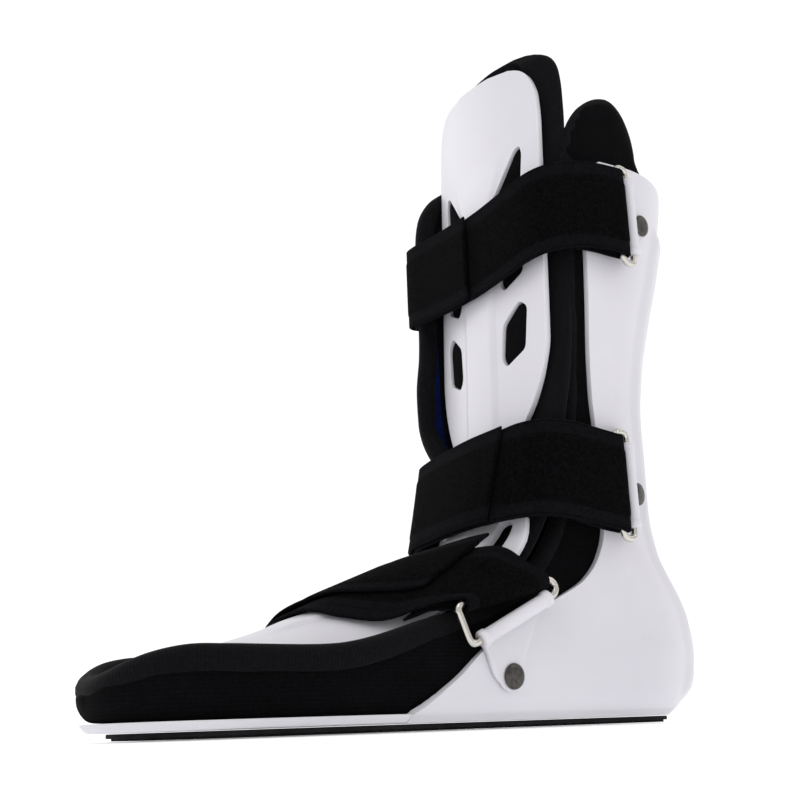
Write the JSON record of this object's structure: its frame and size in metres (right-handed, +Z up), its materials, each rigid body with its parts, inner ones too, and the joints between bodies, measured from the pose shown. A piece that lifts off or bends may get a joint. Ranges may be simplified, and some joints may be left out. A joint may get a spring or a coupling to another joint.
{
  "type": "foot drop brace",
  "caption": "Boot-shaped ankle and foot brace: plastic shells with a padded liner and tongue, held by straps on wire rings, open at the toes",
  "frame": {"origin": "underside of the sole pad, below the middle of the leg", "axes": "+Z up, toes towards -Y, outer side of the foot at +X (a left foot)"},
  "size_m": [0.1216, 0.2784, 0.3146],
  "materials": {
    "shell": "satin white moulded plastic",
    "liner": "black knit over foam, royal blue lining",
    "strap": "black woven strap with a looped pile face",
    "pad": "matte black, ribbed underside",
    "ring": "bright nickel wire",
    "rivet": "dark nickel"
  },
  "bodies": {
    "root": {"sole_pad": "pad", "rear_shell": "shell", "liner": "liner", "front_shell": "shell", "liner_tongue": "liner", "strap_upper": "strap", "ring_upper_lateral": "ring", "anchor_tab_upper_lateral": "shell", "rivet_upper_lateral": "rivet", "ring_upper_medial": "ring", "anchor_tab_upper_medial": "shell", "rivet_upper_medial": "rivet", "strap_ankle": "strap", "ring_ankle_lateral": "ring", "anchor_tab_ankle_lateral": "shell", "rivet_ankle_lateral": "rivet", "ring_ankle_medial": "ring", "anchor_tab_ankle_medial": "shell", "rivet_ankle_medial": "rivet", "strap_instep": "strap", "ring_instep_lateral": "ring", "anchor_tab_instep_lateral": "shell", "rivet_instep_lateral": "rivet", "ring_instep_medial": "ring", "anchor_tab_instep_medial": "shell", "rivet_instep_medial": "rivet"}
  },
  "joints": []
}
